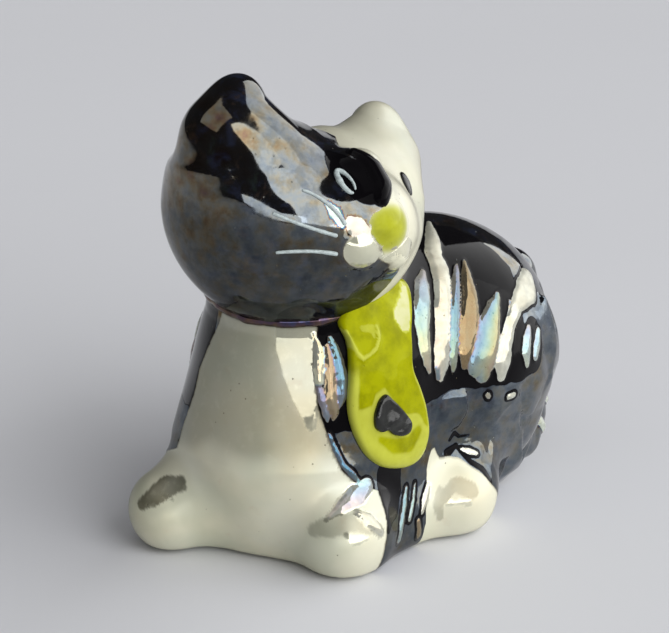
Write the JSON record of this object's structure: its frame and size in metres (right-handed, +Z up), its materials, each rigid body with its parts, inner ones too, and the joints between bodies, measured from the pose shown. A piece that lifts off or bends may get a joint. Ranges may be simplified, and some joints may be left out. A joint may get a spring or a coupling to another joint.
{
  "type": "cat figurine",
  "caption": "Small glossy lustre-glazed porcelain cat on stubby paws, head turned and tilted, with a collar and a raised necktie bearing a heart.",
  "frame": {"origin": "middle of the figure's outline seen from above, on the surface that it stands on", "axes": "+Z up; -Y is where the face looks; the trunk lies along X with the chest at -X, so the head is turned to the cat's left"},
  "size_m": [0.0498, 0.0304, 0.049],
  "materials": {
    "trunk_glaze": "glossy pearl white bib, black lustre flanks with raised white stripes",
    "head_glaze": "glossy black lustre, pearl white on the left of the face",
    "black_lustre": "glossy, iridescent blue and brown mottling",
    "pearl_white": "glossy, faint grey-green pooling",
    "lime_glaze": "glossy, thinner at the raised rim",
    "white_enamel": "satin brush strokes",
    "black_enamel": "glossy brush strokes"
  },
  "bodies": {
    "root": {"body_casting": "trunk_glaze", "head_casting": "head_glaze", "ear_right": "black_lustre", "ear_left": "pearl_white", "muzzle_pad_right": "pearl_white", "muzzle_pad_left": "pearl_white", "nose_button": "lime_glaze", "front_paw_right": "pearl_white", "front_paw_left": "pearl_white", "hind_paw_left": "pearl_white", "hind_paw_right": "pearl_white", "tail": "black_lustre", "collar": "black_lustre", "necktie": "lime_glaze", "tie_heart": "black_enamel", "eye_ring": "white_enamel", "eye_spot": "black_enamel", "whisker_upper": "white_enamel", "whisker_middle": "white_enamel", "whisker_lower": "white_enamel"}
  },
  "joints": []
}
